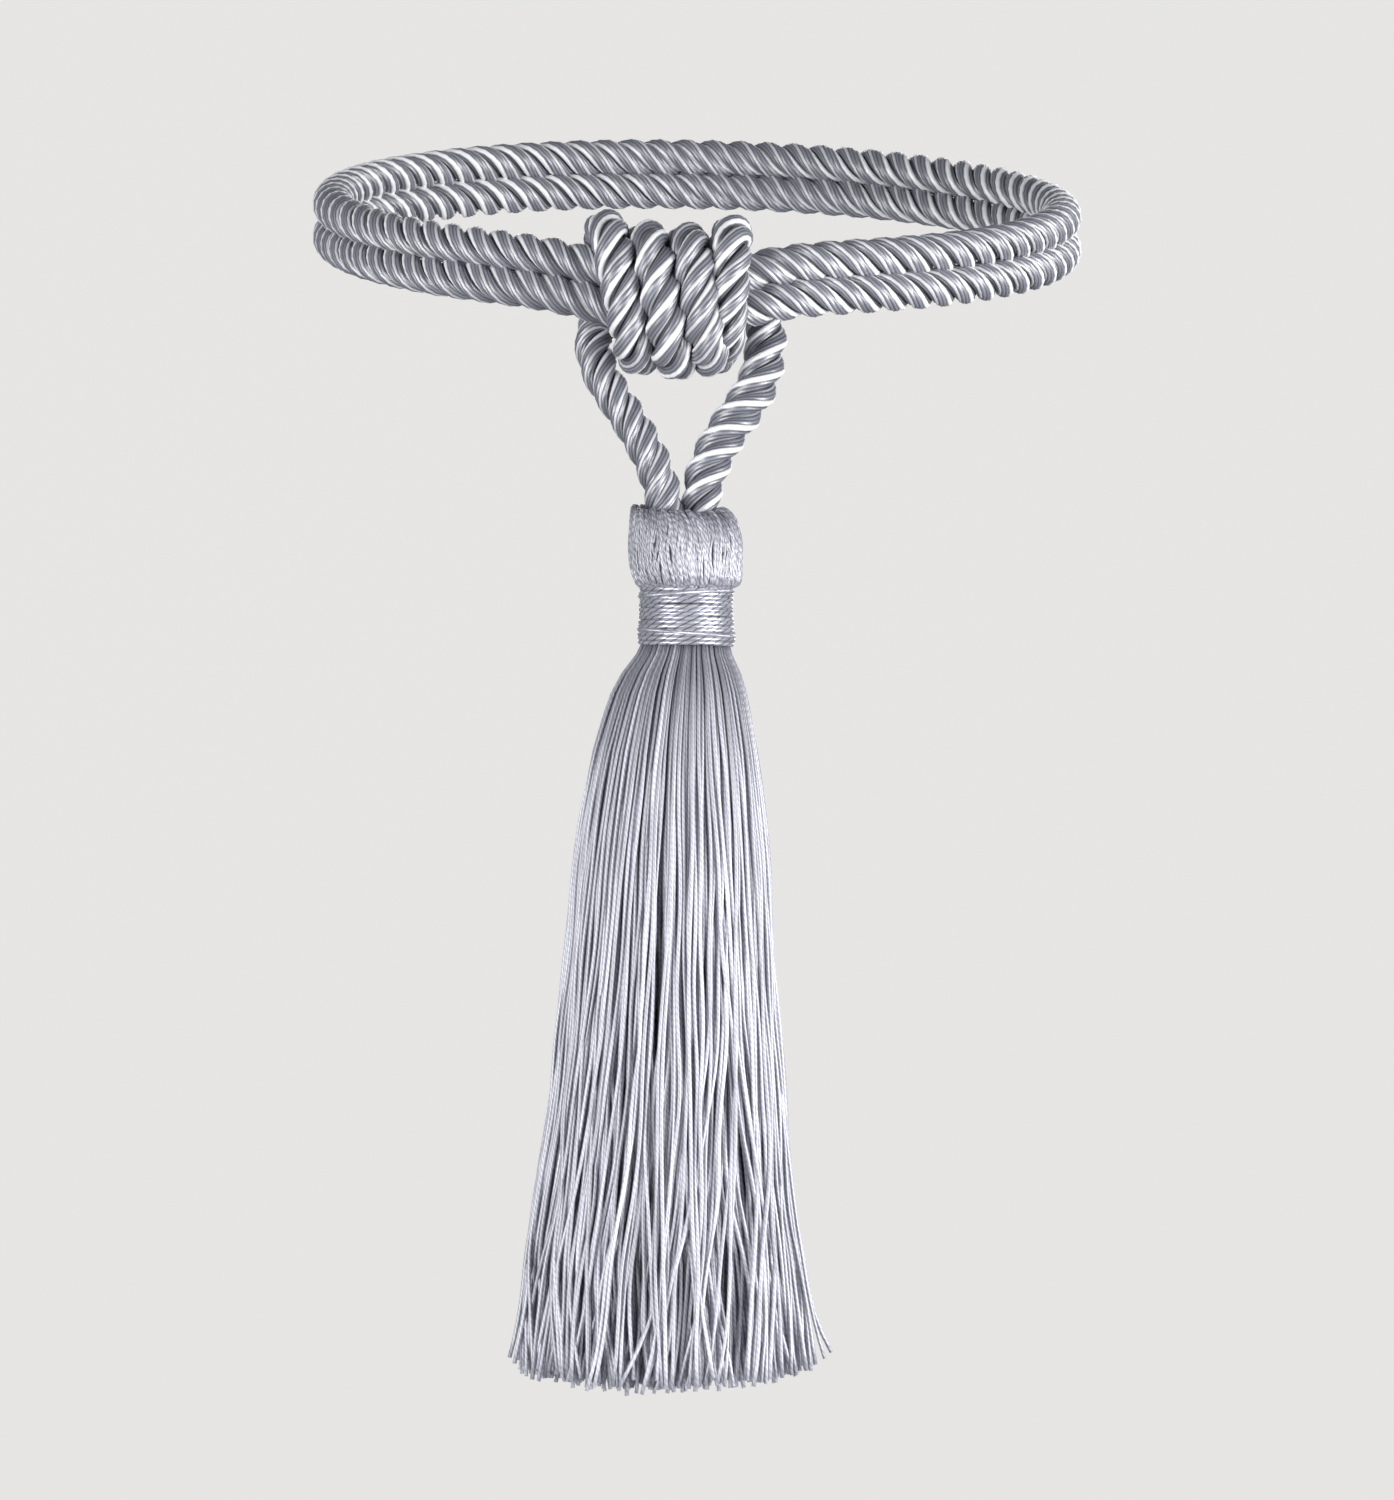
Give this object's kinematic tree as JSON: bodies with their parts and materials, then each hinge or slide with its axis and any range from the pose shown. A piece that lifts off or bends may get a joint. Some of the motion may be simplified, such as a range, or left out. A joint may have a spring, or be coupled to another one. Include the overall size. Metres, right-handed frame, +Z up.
{
  "type": "curtain tieback tassel",
  "caption": "Doubled twisted rope ring round a gathered curtain, bound by a wound rope knot, with a tassel hanging from it on a V of cord.",
  "frame": {"origin": "centre of the rope ring, where the gathered curtain that holds it up passes through", "axes": "+Z up along the curtain and the hanging tassel, the front with the knot faces -Y, +X to the right seen from the front"},
  "size_m": [0.162, 0.1655, 0.2644],
  "materials": {
    "rope": "glossy twisted yarn",
    "knot": "glossy twisted yarn",
    "cord": "glossy twisted yarn",
    "thread": "glossy two-ply thread",
    "binding": "satin winding"
  },
  "bodies": {
    "root": {"ring_rope": "rope", "knot_rope": "knot", "hanging_cord": "cord", "tassel_threads": "thread", "neck_binding": "binding"}
  },
  "joints": []
}
